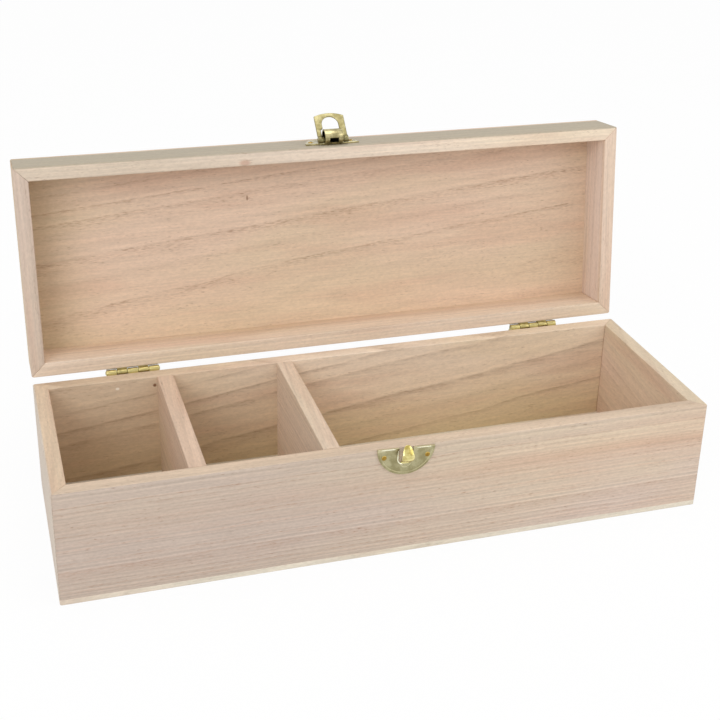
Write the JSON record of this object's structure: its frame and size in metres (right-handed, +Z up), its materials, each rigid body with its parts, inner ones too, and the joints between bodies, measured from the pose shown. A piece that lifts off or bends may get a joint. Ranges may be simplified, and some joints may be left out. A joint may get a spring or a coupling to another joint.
{
  "type": "brush box with hinged lid",
  "caption": "Long wooden craft box with divided compartments for brushes and supplies, a deep hinged lid on brass butt hinges and a front swing clasp.",
  "frame": {"origin": "middle of the underside of the body", "axes": "+X to the right along the length, -Y towards the clasp at the front, +Z up; the lid is drawn open"},
  "size_m": [0.33, 0.1569, 0.1849],
  "materials": {
    "wood": "bare sanded paulownia",
    "brass": "bright brass plate",
    "nail": "brass plate, dulled"
  },
  "bodies": {
    "box": {"bottom_panel": "wood", "front_wall": "wood", "back_wall": "wood", "left_wall": "wood", "right_wall": "wood", "left_divider": "wood", "right_divider": "wood", "left_hinge_body_leaf": "brass", "right_hinge_body_leaf": "brass", "left_hinge_pin": "brass", "right_hinge_pin": "brass", "body_hinge_nails": "nail", "catch_plate": "brass", "catch_nails": "nail"},
    "lid": {"lid_panel": "wood", "lid_front_rail": "wood", "lid_back_rail": "wood", "lid_left_rail": "wood", "lid_right_rail": "wood", "left_hinge_lid_leaf": "brass", "right_hinge_lid_leaf": "brass", "lid_hinge_nails": "nail", "hasp_plate": "brass", "hasp_nails": "nail"},
    "loop": {"clasp_loop": "brass"}
  },
  "joints": [
    {"name": "lid_hinge", "type": "hinge", "parent": "box", "child": "lid", "pos_m": [0, 0.0571, 0.06015], "axis": [1, 0, 0], "range_deg": [0, 97.1]},
    {"name": "loop_pivot", "type": "hinge", "parent": "lid", "child": "loop", "pos_m": [0.0006, 0.07662, 0.17361], "axis": [1, 0, 0], "range_deg": [-55, 122]}
  ]
}
